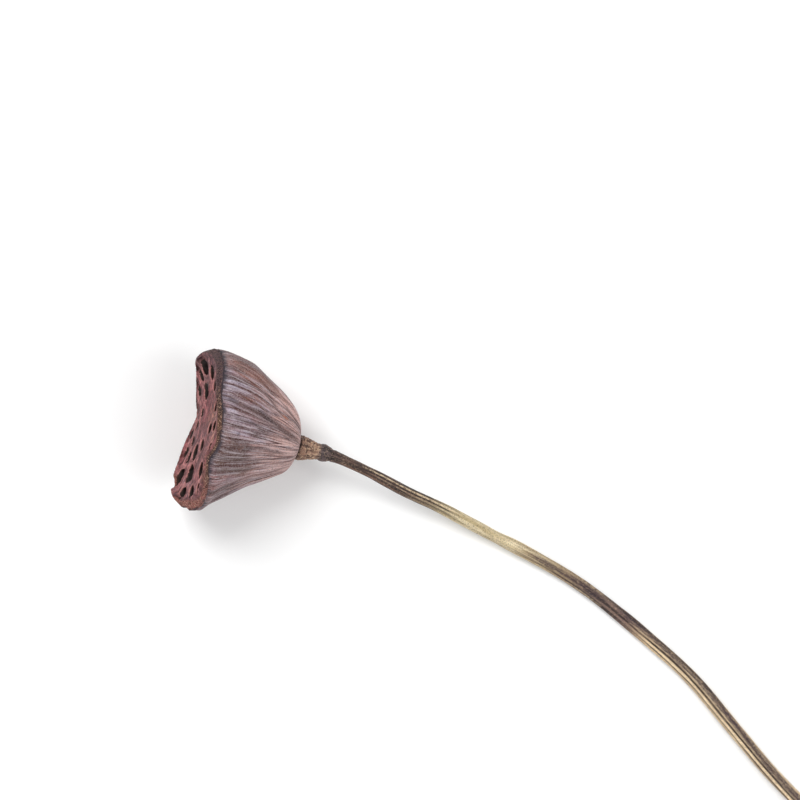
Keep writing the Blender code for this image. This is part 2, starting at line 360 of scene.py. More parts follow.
pod = {
    "height": 55.1 * mm,
    "wallTop": 52.2 * mm,
    "rimRadius": 44.5 * mm,
    "faceRadius": 38.6 * mm,
    "faceHeight": 53.6 * mm,
    "faceDish": 1.4 * mm,
    "rimSag": 2.6 * mm,
    "rimCurl": 2.0 * mm,
    "rimBand": (44 * mm, 51 * mm),      # heights over which the rim's sag and curl come in
    "lobes": 7,            # scallops of the rim
    "lobeDepth": 0.9 * mm,
    "sideDrop": 4.5,       # how far back the rim's right side sits, and forward its left (mm)
    "saddle": 1.4,         # how far back its lower and upper sides sit, and forward the others (mm)
    "ridges": 36,
    "ridgeDepth": 0.42,    # mm
    "broadFolds": 11,
    "broadDepth": 0.45,    # mm
    "foldDepth": 0.30 * mm,
    "pitDepth": 0.28 * mm,
    "lipHeight": 0.6 * mm,
    "lipAway": 0.6,        # of the lip's top from the mouth's edge (mm)
    "lipWidth": 0.9,       # mm
    "netHeight": 0.45 * mm,
    "netGrit": 0.16 * mm,
    "strandWidth": 1.6,    # mm
    "strandFade": 5.0,     # mm
    "steps": 480,          # round the pod
    "faceRings": 50,
    "wallRings": 9,        # in each span of the wall's table
    "mergeGap": 0.01 * mm,
    "skin": 0.5 * mm,      # what is closer than this to the wall's curve is wall
    # height, radius, and how much wider the right side is, as a share (mm, mm, share)
    "wall": [
        (0.0, 6.9, -0.02), (2.2, 13.3, -0.08), (5.6, 18.0, -0.09), (13.8, 24.3, -0.09),
        (24.0, 30.4, -0.07), (33.6, 37.0, -0.04), (41.3, 41.0, 0.01), (47.6, 44.0, 0.06),
        (52.2, 44.5, 0.08),
    ],
    "margin": [(52.2, 44.5), (53.0, 43.8), (54.0, 42.4), (55.1, 40.7), (54.6, 39.4)],
    # angle round the pod, from the side it lies on, and the rim's rise (degrees, mm)
    "wave": [
        (-180, 1.5), (-174, 2.2), (-155, 5.0), (-130, 3.4), (-105, 1.0), (-90, 0.8),
        (-62, 9.0), (-45, 6.6), (-31, 4.0), (-14, 0.2), (-4, -2.9), (12, -0.9), (30, 2.0),
        (50, 6.8), (64, 8.8), (78, 7.6), (92, 2.6), (110, -0.6), (127, -0.3), (140, 1.2),
        (155, 3.6), (168, 0.6), (180, 1.5),
    ],
}

# Single marks on the wall. Angles are round the pod, from the side it lies on (degrees),
# and heights are in mm
wallMarks = {
    # angle and height of one end, of the other end, width (mm), depth (mm), and share of rust
    "creases": [
        (-165, 5, -156, 50, 1.5, 0.9, 0.2), (-160, 10, -150, 44, 0.8, 0.5, 0.7),
        (-146, 14, -128, 51, 0.7, 0.5, 0.8), (168, 12, 169, 41, 1.3, 0.6, 0.1),
        (160, 6, 162, 22, 0.8, 0.4, 0.5), (-174, 9, -171, 40, 1.0, 0.45, 0.2),
        (-134, 6, -117, 47, 1.1, 0.6, 0.5), (150, 8, 146, 34, 0.8, 0.35, 0.3),
        (136, 8, 130, 50, 1.2, 0.5, 0.2), (118, 6, 112, 44, 1.2, 0.6, 0.3),
        (92, 8, 88, 48, 1.3, 0.6, 0.2), (62, 6, 66, 46, 1.2, 0.6, 0.4),
        (34, 8, 30, 50, 1.2, 0.5, 0.2), (-8, 6, -12, 40, 1.2, 0.5, 0.3),
        (-40, 8, -36, 50, 1.2, 0.6, 0.4), (-70, 6, -76, 46, 1.3, 0.6, 0.3),
        (-98, 8, -92, 50, 1.2, 0.6, 0.3),
    ],
    # angle, height, half width (degrees), half height (mm), strength
    "brownStainAndShadow": [
        (160, 42, 15, 11, 1.0), (150, 31, 9, 8, 0.7), (-124, 42, 7, 4, 0.9), (168, 50, 12, 4, 0.7),
        # The patch at -108 degrees is painted shadow along the wall's top edge; the others are the
        # wall's own marks
        (-108, 34, 12, 22, 0.8), (-140, 38, 10, 13, 0.4),
        (70, 36, 16, 12, 0.8), (-20, 30, 20, 12, 0.8), (-78, 44, 12, 8, 0.7),
    ],
    # Pale patches, partly the wall's own bloom and partly painted highlight: the one at -146 degrees is
    # the lit band near the rim
    "silverAndHighlight": [
        (-146, 46, 13, 9, 1.0), (-156, 34, 9, 12, 0.8), (-176, 36, 10, 12, 0.8),
        (-172, 48, 8, 5, 0.6), (40, 30, 16, 14, 0.8), (-50, 34, 14, 14, 0.8), (104, 26, 9, 12, 0.5),
    ],
    # The wide patch at -119 degrees is painted orange rim light on the shaded top edge; the other two
    # are rust
    "rust": [(-146, 14.5, 2.4, 1.7, 1.0), (-119, 34, 10, 22, 0.55), (30, 22, 6, 8, 0.4)],
    "pit": (178, 42.2, 0.75),      # angle, height, radius
}

# Patches on the face: down, to the right, reach each way (mm), strength
faceMarks = {
    "rose": [
        (14, -16, 11, 7, 1.0), (12, -6, 12, 8, 1.0), (28, -23, 9, 6, 0.6), (9, 25, 12, 4, 0.7),
        (-8, 29, 8, 3, 0.7), (35, 17, 8, 9, 0.6), (-2, -22, 8, 8, 0.6),
    ],
    "tan": [
        (-14, -8, 9, 5, 1.0), (-10, -3, 9, 5, 0.9), (-30, 8, 8, 14, 0.9), (-31, 22, 7, 10, 0.8),
        (-22, -20, 8, 8, 0.5),
    ],
    # Patches of this kind are grey-purple tone, except the wide one at -38 mm, which is painted shadow
    # across the face's shaded end
    "dullAndShadow": [
        (2, 7, 10, 4, 0.8), (7, 12, 8, 4, 0.7), (-8, 34, 8, 3, 1.0), (3, 31, 9, 3, 0.9),
        (8, 39, 10, 3, 0.8), (4, -38, 26, 8, 0.9), (22, 6, 9, 4, 0.6),
    ],
}

cells = {
    "sides": 40,
    "depth": 14.0 * mm,
    "shutDepth": 0.6,          # of the depth, where the cell never grew
    "fan": 92.0 * mm,          # how far under the face the cells' middle lines meet
    "shutMouth": 2.5 * mm,     # a cell whose mouth is no wider never grew
    "room": 4.0 * mm,          # least radius inside a grown cell
    "shoulder": 0.4 * mm,      # how much wider a cell is inside than at its mouth, at least
    # down, to the right as the face is seen, and the mouth's radius (mm)
    "places": [
        (22.5, -26.5, 3.4), (13.0, -31.5, 4.0), (1.5, -29.5, 3.4), (-6.0, -22.5, 2.7),
        (30.5, -16.5, 2.9), (34.0, -6.5, 2.8), (14.5, -17.5, 4.4), (18.5, -5.0, 2.3),
        (25.0, 2.5, 2.5), (-12.0, 2.0, 2.8), (-23.0, 0.0, 2.5), (33.5, 7.5, 2.8),
        (23.5, 11.0, 2.5), (-2.0, 11.5, 2.9), (-29.0, 12.0, 2.6), (9.5, 16.0, 4.0),
        (20.0, 19.5, 2.8), (30.5, 17.5, 2.8), (-13.5, 23.5, 3.6), (6.0, 26.2, 4.2),
        (20.5, 31.0, 4.6), (-17.0, 33.0, 2.6), (-5.0, 35.0, 2.7), (5.5, 36.6, 2.6),
        (-27.5, 22.0, 2.8), (-19.0, -22.0, 2.8), (-30.5, -12.0, 2.7), (-16.0, -10.5, 2.6),
    ],
}

waveCurve = smoothRoute(pod["wave"], 4)
wallCurve = smoothRoute(pod["wall"], 8)
leanAxis = Vector((math.cos(lie["tilt"]), 0.0, math.sin(lie["tilt"])))
leanDown = Vector((math.sin(lie["tilt"]), 0.0, -math.cos(lie["tilt"])))


def wrinkles(angle, height, radius):
    # The ridges that run up the wall, deeper towards the rim
    drift = 0.5 * math.sin(2 * angle + 0.6) + 0.9 * math.sin(3 * angle + height / (30 * mm))
    fine = math.cos(pod["ridges"] * angle + drift) * (0.55 + 0.45 * math.sin(5 * angle + 1.0))
    folds = math.cos(pod["broadFolds"] * angle + 1.5 * math.sin(2 * angle))
    folds *= ease(height, 3 * mm, 20 * mm)
    size = ease(radius, 6 * mm, 30 * mm)
    return (pod["ridgeDepth"] * fine + pod["broadDepth"] * folds) * size * mm


def laid(point, extra=0.0):
    # Where a point of the upright pod is once it leans and lies on the floor
    across, right, height = point
    radius = math.hypot(across, right)
    angle = math.atan2(right, across)
    up = height / pod["height"]
    out = radius / pod["rimRadius"]
    side = math.sin(angle) * abs(math.sin(angle))
    wall = readOff(pod["wall"], height / mm, 1) * mm
    lean = readOff(pod["wall"], height / mm, 2) * side * min(1.0, radius / (20 * mm)) ** 2
    lobes = math.cos(pod["lobes"] * (angle - math.radians(155)))
    atRim = min(up, 1.0) ** 4 * out ** 4
    rise = readOff(waveCurve, math.degrees(angle), 1) * mm
    grown = radius * (1 + lean) - pod["lobeDepth"] * lobes * atRim
    grown += (wrinkles(angle, height, radius) + extra) * ease(radius / wall, 0.93, 1.0)
    shift = -pod["sideDrop"] * side - pod["saddle"] * math.cos(2 * angle)
    grownUp = height + up * out ** 2 * shift * mm
    grownUp += rise * atRim
    edge = ease(height, *pod["rimBand"]) * (1 - ease(height, 52.4 * mm, 54.6 * mm))
    edge *= ease(out, 0.86, 0.93)
    grownUp -= pod["rimSag"] * edge * math.sin(angle) ** 2
    curl = ease(math.cos(angle + math.radians(35)), 0.5, 0.9)
    grownUp -= pod["rimCurl"] * curl * ease(out, 0.85, 0.95) * ease(height, *pod["rimBand"])
    dish = 1 - min(out / 0.87, 1.0) ** 2
    grownUp -= pod["faceDish"] * ease(height, 36 * mm, 50 * mm) * dish
    place = lie["foot"] + leanAxis * grownUp + leanDown * (grown * math.cos(angle))
    place.y += grown * math.sin(angle)
    place.z = onFloor(place.z)
    return place


def cellAxis(mouth):
    # The way out of a cell: the cells fan out from one point under the face
    return (mouth - Vector((0, 0, pod["faceHeight"] - cells["fan"]))).normalized()


def netRelief(x, y):
    # How much of a lip and of a strand is at a place on the face, and mm to the next mouth
    gaps = []
    for down, right, wide in cells["places"]:
        away = math.hypot(x - down * mm, y - right * mm)
        lower = (x - down * mm) / max(away, 0.1 * mm)        # 1 on the mouth's lower side
        gaps.append((away - wide * mm, lower))
    gaps.sort()
    near = gaps[0][0] / mm
    second = gaps[1][0] / mm
    lip = math.exp(-((near - pod["lipAway"]) / pod["lipWidth"]) ** 2) * (0.5 + 0.5 * gaps[0][1])
    strand = math.exp(-((second - near) / pod["strandWidth"]) ** 2)
    strand *= math.exp(-near / pod["strandFade"])
    return lip, strand, near


def fineFolds(angle, height):
    # Smaller, uneven folds between the ridges
    turn = (math.cos(angle), math.sin(angle))
    run = height / (26 * mm)
    creases = 1 - abs(grit(turn[0] * 9, turn[1] * 9, run + 7, 2)) * 2.2
    threads = grit(turn[0] * 26, turn[1] * 26, run * 1.3, 2)
    return creases * 0.45 + threads * 0.55


def faceShare(kind, x, y, drift):
    # How much of a kind of patch is at a place on the face
    share = 0.0
    for down, right, wide, tall, strength in faceMarks[kind]:
        far = math.hypot((x / mm - down) / wide, (y / mm - right) / tall)
        share = max(share, strength * (1 - ease(far + 0.5 * drift, 0.5, 1.3)))
    return share


def patchShare(kind, angle, height, drift):
    # How much of a kind of patch is at a place on the wall
    share = 0.0
    for where, up, wide, tall, strength in wallMarks[kind]:
        far = math.hypot(turnedFrom(angle, where) / wide, (height / mm - up) / tall)
        share = max(share, strength * (1 - ease(far + 0.45 * drift, 0.5, 1.25)))
    return share


def creaseAt(angle, height, radius):
    # How deep the single creases are at a place, and how rusty
    deep = 0.0
    rusty = 0.0
    for lowTurn, low, highTurn, high, width, depth, rust in wallMarks["creases"]:
        share = (height / mm - low) / (high - low)
        if -0.15 < share < 1.15:
            middle = lowTurn + (highTurn - lowTurn) * share + 1.4 * math.sin(share * 7 + lowTurn)
            away = math.radians(turnedFrom(angle, middle)) * radius / mm
            fade = ease(share, -0.15, 0.12) * (1 - ease(share, 0.88, 1.15))
            here = math.exp(-(away / width) ** 2) * fade
            deep = max(deep, here * depth)
            rusty = max(rusty, here * rust)
    return deep, rusty


def pitAt(angle, height, radius):
    # How much of the one round pit is at a place
    where, up, wide = wallMarks["pit"]
    away = math.hypot(math.radians(turnedFrom(angle, where)) * radius, height - up * mm)
    return math.exp(-(away / (wide * mm)) ** 2)


def podShell():
    # The closed skin of the upright pod, with the net raised on its face
    outline = [(0.0, pod["faceHeight"])]
    for ring in range(1, pod["faceRings"]):
        outline.append((pod["faceRadius"] * ring / pod["faceRings"], pod["faceHeight"]))
    outline.append((pod["faceRadius"], pod["faceHeight"]))
    wall = smoothRoute(pod["wall"], pod["wallRings"])[:-1]
    margin = smoothRoute(pod["margin"], 4)
    outline += [(point[1] * mm, point[0] * mm) for point in reversed(wall + margin)]
    outline.append((0.0, 0.0))
    shape = spun(outline, pod["steps"])
    for vertex in shape.verts:
        x, y, z = vertex.co
        radius = math.hypot(x, y)
        if z > 53 * mm and radius < 42 * mm:
            lip, strand, _ = netRelief(x, y)
            inner = 1 - ease(radius, 38 * mm, 41 * mm)
            vertex.co.z += (pod["lipHeight"] * lip + pod["netHeight"] * strand) * inner
            vertex.co.z += pod["netGrit"] * grit(x / (1.7 * mm), y / (1.7 * mm), 3.0) * inner
    return shape


def cellHollow(number, down, right, wide):
    # What a cell takes out of the pod
    wide = wide * mm
    room = wide + cells["shoulder"]
    depth = cells["depth"] * cells["shutDepth"]
    if wide > cells["shutMouth"]:
        room = max(room, cells["room"])
        depth = cells["depth"]
    section = smoothRoute([
        (wide + 2.2 * mm, 3.0 * mm), (wide + 1.0 * mm, 0.7 * mm), (wide + 0.35 * mm, 0.0),
        (wide, -1.0 * mm), (room - 0.2 * mm, -0.30 * depth), (room, -0.55 * depth),
        (room - 0.6 * mm, -0.82 * depth), (room * 0.55, -0.97 * depth),
    ], 2)
    outline = [(0.0, 3.0 * mm)] + [tuple(point) for point in section] + [(0.0, -depth)]
    hollow = spun(outline, cells["sides"])
    for vertex in hollow.verts:
        x, y, z = vertex.co
        turn = math.atan2(y, x)
        bumps = 0.05 * math.cos(2 * turn + number) + 0.035 * math.cos(5 * turn + number * 2.4)
        bumps += 0.07 * grit(x / (2 * mm) + number * 5, y / (2 * mm), z / (5 * mm), 2)
        vertex.co.x *= 1 + bumps
        vertex.co.y *= 1 + bumps
    mouth = Vector((down * mm, right * mm, pod["faceHeight"]))
    return aimed(hollow, mouth, cellAxis(mouth))


def makePod(finishes):
    hollows = [cellHollow(number, *place) for number, place in enumerate(cells["places"])]
    shape = carved(podShell(), hollows)
    print("pod cut:", len(shape.verts), "points,", len(shape.faces), "faces")

    bmesh.ops.remove_doubles(shape, verts=shape.verts, dist=pod["mergeGap"])
    bmesh.ops.triangulate(shape, faces=shape.faces)
    bmesh.ops.dissolve_degenerate(shape, edges=shape.edges, dist=pod["mergeGap"])
    bmesh.ops.triangulate(shape, faces=shape.faces)
    numbers = shape.verts.layers.float
    threes = shape.verts.layers.float_vector
    grain = threes.new("grain")            # round the pod and up its wall
    netPlace = threes.new("netPlace")      # place on the upright pod
    crest = numbers.new("crest")           # 1 on a ridge or strand, 0 in a groove
    rimCreaseShade = numbers.new("rimCreaseShade")
    stainsAndPaintedLight = threes.new("stainsAndPaintedLight")          # shares of three patch colours, mostly real marks, with some painted shadow, highlight and rim light
    crease = numbers.new("crease")
    netMask = numbers.new("netMask")       # 1 on the net, 0 on the margin
    lipMask = numbers.new("lipMask")
    hollow = numbers.new("hollow")         # 1 deep in a cell
    for face in shape.faces:
        x, y, z = face.calc_center_median()
        wall = readOff(wallCurve, z / mm, 1) * mm
        onWall = z < pod["wallTop"] and math.hypot(x, y) > wall - pod["skin"]
        face.material_index = 0 if onWall else 1
    for vertex in shape.verts:
        x, y, z = vertex.co
        radius = math.hypot(x, y)
        angle = math.atan2(y, x)
        wall = readOff(wallCurve, z / mm, 1) * mm
        onWall = z < 52.9 * mm and radius > wall - pod["skin"]
        vertex[grain] = (math.cos(angle), math.sin(angle), z / pod["height"])
        vertex[netPlace] = vertex.co
        extra = 0.0
        if onWall:
            folds = fineFolds(angle, z)
            size = ease(radius, 6 * mm, 26 * mm)
            deep, rusty = creaseAt(angle, z, radius)
            drift = grit(vertex[grain][0] * 5, vertex[grain][1] * 5, z / (14 * mm), 3)
            pit = pitAt(angle, z, radius)
            extra = folds * pod["foldDepth"] * size - (deep + 0.8 * pit) * mm
            vertex[crest] = 0.5 + 0.5 * (0.7 * wrinkles(angle, z, radius) / mm + 0.6 * folds)
            # The crease tone darkens the single creases and the pit: painted shade where they sink
            vertex[crease] = min(1.0, deep * 1.5 + pit * 1.5)
            brownStainAndShadow = patchShare("brownStainAndShadow", angle, z, drift)
            silveryAndHighlight = patchShare("silverAndHighlight", angle, z, drift)
            rusty = max(rusty * (0.5 + 0.5 * drift), patchShare("rust", angle, z, drift))
            vertex[stainsAndPaintedLight] = (brownStainAndShadow, silveryAndHighlight, rusty)
            # A dark band just under the rim's crease: painted shade
            vertex[rimCreaseShade] = ease(z, 49.9 * mm, 52.1 * mm)
        else:
            lip, strand, near = netRelief(x, y)
            thin = 1.8 * mm * ease(math.cos(angle - math.radians(140)), 0.7, 0.95)
            inner = 1 - ease(radius - thin, 39.5 * mm, 42.5 * mm)
            vertex[netMask] = inner
            vertex[lipMask] = max(lip, 0.6 * strand) * inner
            drift = grit(x / (5 * mm), y / (3 * mm), 9.0, 3)
            vertex[stainsAndPaintedLight] = [faceShare(kind, x, y, drift) for kind in ("rose", "tan", "dullAndShadow")]
            under = pod["faceHeight"] - z
            if near < 0.8 or (under > 0.5 * mm and radius < 42.2 * mm):
                vertex[hollow] = ease(under, -0.3 * mm, 1.2 * mm)
            # Painted shade on the margin just over the rim's crease
            vertex[rimCreaseShade] = 1 - ease(z, pod["wallTop"], 53.2 * mm) if radius > 42.5 * mm else 0.0
            vertex[crest] = 0.5 + 0.5 * strand
        place = laid(vertex.co, extra)
        if not onWall and radius > 39 * mm:
            pits = grit(x / (0.9 * mm), y / (0.9 * mm), z / (0.9 * mm), 2)
            place += leanAxis * min(pits, 0.3) * pod["pitDepth"]
        vertex.co = inBox(place)
    piece("podDried", shape, finishes, "dried_pod", "pod")


# Colours as they look on a screen, 0 to 255
wallTones = {
    "wall": (134, 100, 98), "wallDull": (108, 86, 92), "pink": (152, 108, 104),
    "collarPinkAndLight": (232, 188, 178), "brownStainAndShadow": (94, 70, 62), "silverAndHighlight": (184, 178, 198),
    "groove": (86, 56, 54), "foldLine": (68, 38, 36), "fibreLine": (86, 54, 54),
    "paleHair": (206, 194, 200), "crease": (58, 42, 44), "rust": (160, 96, 70),
    "mottle": (206, 190, 190), "dot": (76, 56, 54), "edge": (60, 54, 62),
}


def makePodSkin():
    finish, tree, shader = newFinish("podSkin")
    grain = read(tree, "grain", "Vector")
    crest = read(tree, "crest")
    edge = read(tree, "rimCreaseShade")
    # Painted shade in the single creases and the pit
    crease = read(tree, "crease")
    stainsAndPaintedLight = readThree(tree, "stainsAndPaintedLight")
    height = readThree(tree, "grain")["Z"]
    # Paler pink towards the collar: partly the wall's own pink, partly painted light on the side that
    # faces away from the lamps
    nearCollarPinkAndLight = ranged(tree, height, 0.75, 0.15)
    place = node(tree, "ShaderNodeTexCoord").outputs["Object"]
    folds = placed(tree, fibreGrain, Vector=grain, Across=13.0, Along=1.5, Waver=0.5)
    fibres = placed(tree, fibreGrain, Vector=grain, Across=27.0, Along=2.4, Waver=0.4)
    hairs = placed(tree, fibreGrain, Vector=grain, Across=62.0, Along=4.0, Waver=0.3)
    broad = placed(tree, patches, Vector=place, Scale=45.0, Start=0.42, End=0.62)["Mask"]
    pink = placed(tree, patches, Vector=place, Scale=28.0, Start=0.48, End=0.6)["Mask"]
    rust = placed(tree, patches, Vector=place, Scale=110.0, Start=0.62, End=0.72)["Mask"]
    dots = placed(tree, specks, Vector=place, Scale=1500.0, Cover=0.18)
    mottle = placed(tree, specks, Vector=place, Scale=1150.0, Cover=0.22)

    raised = ranged(tree, crest, 0.4, 0.8)
    # Pale tone on the patches and, weaker, on every raised ridge: painted highlight on the crests over
    # the wall's own pale bloom
    silverAndHighlight = maths(tree, "MULTIPLY_ADD", stainsAndPaintedLight["Y"], 0.8, maths(tree, "MULTIPLY", raised, 0.2))
    streaks = maths(tree, "MULTIPLY", fibres["Bands"], 0.4)
    streaks = maths(tree, "MULTIPLY_ADD", fibres["Threads"], 0.8, streaks)
    silverAndHighlight = maths(tree, "MULTIPLY", silverAndHighlight, streaks)
    plain = ranged(tree, stainsAndPaintedLight["X"], 0.8, 0.2, (0.3, 1.0))
    # Red-brown in the fibre grooves, strongest where the wrinkles sink: the grooves' own colour with
    # painted shade in the hollows
    groove = ranged(tree, fibres["Threads"], 0.5, 0.08)
    sunk = ranged(tree, crest, 0.85, 0.3, (0.2, 1.0))
    pale = ranged(tree, hairs["Threads"], 0.5, 0.9)
    # Rust from the creases, the rust patches and specks, with painted rim light in the patch at -119
    # degrees
    rusty = maths(tree, "MULTIPLY_ADD", rust, 0.35, stainsAndPaintedLight["Z"])
    broken = ranged(tree, hairs["Threads"], 0.3, 0.65, (0.1, 0.9))
    # The edge tone is painted shade along the rim's crease, broken up by the folds
    rimShadeBreakup = ranged(tree, folds["Threads"], 0.2, 0.7, (0.25, 1.0))
    colour = layered(
        tree, wallTones, "wall",
        ("wallDull", broad, 1.0), ("pink", pink, 0.8), ("collarPinkAndLight", nearCollarPinkAndLight, 0.9),
        ("brownStainAndShadow", stainsAndPaintedLight["X"], 0.9), ("silverAndHighlight", silverAndHighlight, plain), ("groove", groove, sunk),
        ("foldLine", folds["Lines"], 0.9), ("fibreLine", fibres["Lines"], 0.7),
        ("paleHair", pale, 0.5), ("crease", crease, 0.75), ("rust", rusty, broken),
        ("mottle", mottle["Mask"], 0.2), ("dot", dots["Mask"], 0.5), ("edge", edge, rimShadeBreakup),
    )
    tree.links.new(colour, shader.inputs["Base Color"])
    tree.links.new(ranged(tree, fibres["Threads"], 0.0, 1.0, (0.78, 0.55)), shader.inputs["Roughness"])
    bumps = maths(tree, "MULTIPLY_ADD", fibres["Height"], 1.0, hairs["Height"])
    bumps = maths(tree, "MULTIPLY_ADD", folds["Height"], 0.8, bumps)
    bumps = maths(tree, "MULTIPLY_ADD", dots["Height"], 0.25, bumps)
    shader.inputs["Specular IOR Level"].default_value = 0.3
    roughen(tree, shader, bumps, 0.75, 0.35 * mm)
    return finish


faceTones = {
    "margin": (104, 74, 60), "marginDull": (74, 54, 48), "marginShadowEnd": (78, 60, 66),
    "marginRight": (160, 100, 92), "marginPit": (38, 26, 24), "marginFleck": (196, 156, 134),
    "net": (148, 92, 94), "netDull": (98, 68, 76), "netShadowEnd": (92, 72, 78),
    "rose": (178, 88, 96), "tan": (180, 128, 100), "dullAndShadow": (104, 86, 98), "sunk": (70, 42, 44),
    "ropeLine": (66, 36, 38), "raised": (216, 140, 138), "between": (88, 54, 56),
    "lip": (212, 148, 142), "netPit": (80, 48, 46), "cellMouthShade": (62, 40, 34),
    "cellDeepShade": (30, 20, 17), "edge": (54, 48, 54),
}


def makeSeedFace():
    finish, tree, shader = newFinish("seedFace")
    place = read(tree, "netPlace", "Vector")
    net = read(tree, "netMask")
    lip = read(tree, "lipMask")
    deep = read(tree, "hollow")
    edge = read(tree, "rimCreaseShade")
    blotch = readThree(tree, "stainsAndPaintedLight")
    parts = readThree(tree, "netPlace")
    left = ranged(tree, parts["Y"], -8 * mm, -30 * mm)          # the end darkened with painted shadow
    right = ranged(tree, parts["Y"], 24 * mm, 38 * mm)
    turned = node(tree, "ShaderNodeCombineXYZ",
                  {"X": parts["X"], "Y": parts["Z"], "Z": parts["Y"]}).outputs[0]
    ropes = placed(tree, fibreGrain, Vector=turned, Across=300.0, Along=130.0, Waver=0.9)
    cloud = placed(tree, patches, Vector=place, Scale=120.0, Start=0.4, End=0.6)["Mask"]
    pits = placed(tree, specks, Vector=place, Scale=1300.0, Cover=0.2)
    flecks = placed(tree, specks, Vector=place, Scale=1500.0, Cover=0.17)

    # Darker tones and fewer pale flecks at that end: painted shadow
    fleckShare = ranged(tree, left, 0.0, 1.0, (0.7, 0.25))
    rough = layered(
        tree, faceTones, "margin",
        ("marginDull", cloud, 1.0), ("marginShadowEnd", left, 0.85), ("marginRight", right, 0.8),
        ("marginPit", pits["Mask"], 0.9), ("marginFleck", flecks["Mask"], fleckShare),
    )
    # Lighter on the rope strands and cell lips, darker in the sunk threads and between strands: painted
    # highlight and shade on the net's relief
    sunk = ranged(tree, ropes["Threads"], 0.5, 0.1)
    raised = ranged(tree, ropes["Threads"], 0.5, 0.9)
    between = ranged(tree, read(tree, "crest"), 0.75, 0.52)
    smooth = layered(
        tree, faceTones, "net",
        ("netDull", cloud, 1.0), ("netShadowEnd", left, 0.6), ("rose", blotch["X"], 0.85),
        ("tan", blotch["Y"], 0.85), ("dullAndShadow", blotch["Z"], 0.85), ("sunk", sunk, 0.85),
        ("ropeLine", ropes["Lines"], 0.75), ("raised", raised, 0.65), ("between", between, 0.5),
        ("lip", lip, 0.75), ("netPit", pits["Mask"], 0.4),
    )
    colour = tinted(tree, rough, smooth, ranged(tree, net, 0.2, 0.9))
    # Cells go darker from the mouth inwards: painted shade inside the cells
    inside = layered(tree, faceTones, "cellMouthShade",
                     ("cellDeepShade", ranged(tree, deep, 0.1, 0.9), 1.0))
    colour = tinted(tree, colour, inside, ranged(tree, deep, 0.02, 0.25))
    # The edge tone is painted shade along the rim's crease, broken up by the rope bands
    rimShadeBreakup = ranged(tree, ropes["Bands"], 0.2, 0.7, (0.3, 0.9))
    colour = layered(tree, faceTones, colour, ("edge", edge, rimShadeBreakup))
    tree.links.new(colour, shader.inputs["Base Color"])
    tree.links.new(ranged(tree, net, 0.0, 1.0, (0.85, 0.6)), shader.inputs["Roughness"])
    shader.inputs["Specular IOR Level"].default_value = 0.2
    height = maths(tree, "MULTIPLY_ADD", pits["Height"], 1.0, flecks["Height"])
    height = maths(tree, "MULTIPLY_ADD", ropes["Height"], 1.5, height)
    roughen(tree, shader, height, 0.8, 0.45 * mm)
    return finish


makePod([makePodSkin(), makeSeedFace()])
print("pod made")


seeds = {
    "radius": 3.3 * mm,
    "length": 10.4 * mm,
    "sink": 7.9 * mm,      # how far its middle is under the face
    "rest": 0.2 * mm,      # and off the cell's axis, where it lies
    "tip": 0.12,           # as shares of half the length or the radius
    "dent": 0.05,
    "uneven": 0.018,
}

coatTones = {"coat": (74, 54, 46), "bloom": (112, 98, 92), "dot": (30, 20, 17)}


def makeSeedCoat():
    finish, tree, shader = newFinish("seedCoat")
    place = node(tree, "ShaderNodeTexCoord").outputs["Object"]
    bloom = placed(tree, patches, Vector=place, Scale=420.0, Start=0.4, End=0.65)["Mask"]
    dots = placed(tree, specks, Vector=place, Scale=2600.0, Cover=0.15)
    colour = layered(tree, coatTones, "coat", ("bloom", bloom, 1.0), ("dot", dots["Mask"], 0.7))
    tree.links.new(colour, shader.inputs["Base Color"])
    tree.links.new(ranged(tree, bloom, 0.0, 1.0, (0.38, 0.6)), shader.inputs["Roughness"])
    roughen(tree, shader, dots["Height"], 0.3, 0.15 * mm)
    return finish


def makeSeeds(coat):
    # One in every other cell that grew and has a narrow mouth
    narrow = [place for place in cells["places"]
              if cells["shutMouth"] < place[2] * mm <= seeds["radius"]]
    for number, (down, right, _) in enumerate(narrow[::2], start=1):
        mouth = Vector((down * mm, right * mm, pod["faceHeight"]))
        axis = cellAxis(mouth)
        shape = bmesh.new()
        bmesh.ops.create_uvsphere(shape, u_segments=40, v_segments=28, radius=1.0)
        for vertex in shape.verts:
            x, y, z = vertex.co
            vertex.co.z *= 1 + seeds["tip"] * ease(z, 0.8, 1.0)
            dent = 1 - seeds["dent"] * ease(abs(z), 0.86, 0.9) * (1 - ease(abs(z), 0.9, 0.95))
            uneven = 1 + seeds["uneven"] * grit(x * 1.6 + number * 3, y * 1.6, z * 1.6, 2)
            vertex.co.x *= dent * uneven
            vertex.co.y *= dent * uneven
        size = (seeds["radius"], seeds["radius"], seeds["length"] / (2 + seeds["tip"]))
        bmesh.ops.scale(shape, vec=size, verts=shape.verts)
        lowest = (Vector((1, 0, 0)) - axis * axis.x).normalized()
        middle = mouth - axis * seeds["sink"] + lowest * seeds["rest"]
        aimed(shape, middle, axis)
        for vertex in shape.verts:
            vertex.co = laid(vertex.co)
        piece(f"seedLoose_{number:02d}", shape, [coat], "dried_seed", f"seed_{number:02d}")


makeSeeds(makeSeedCoat())
print("seeds made")


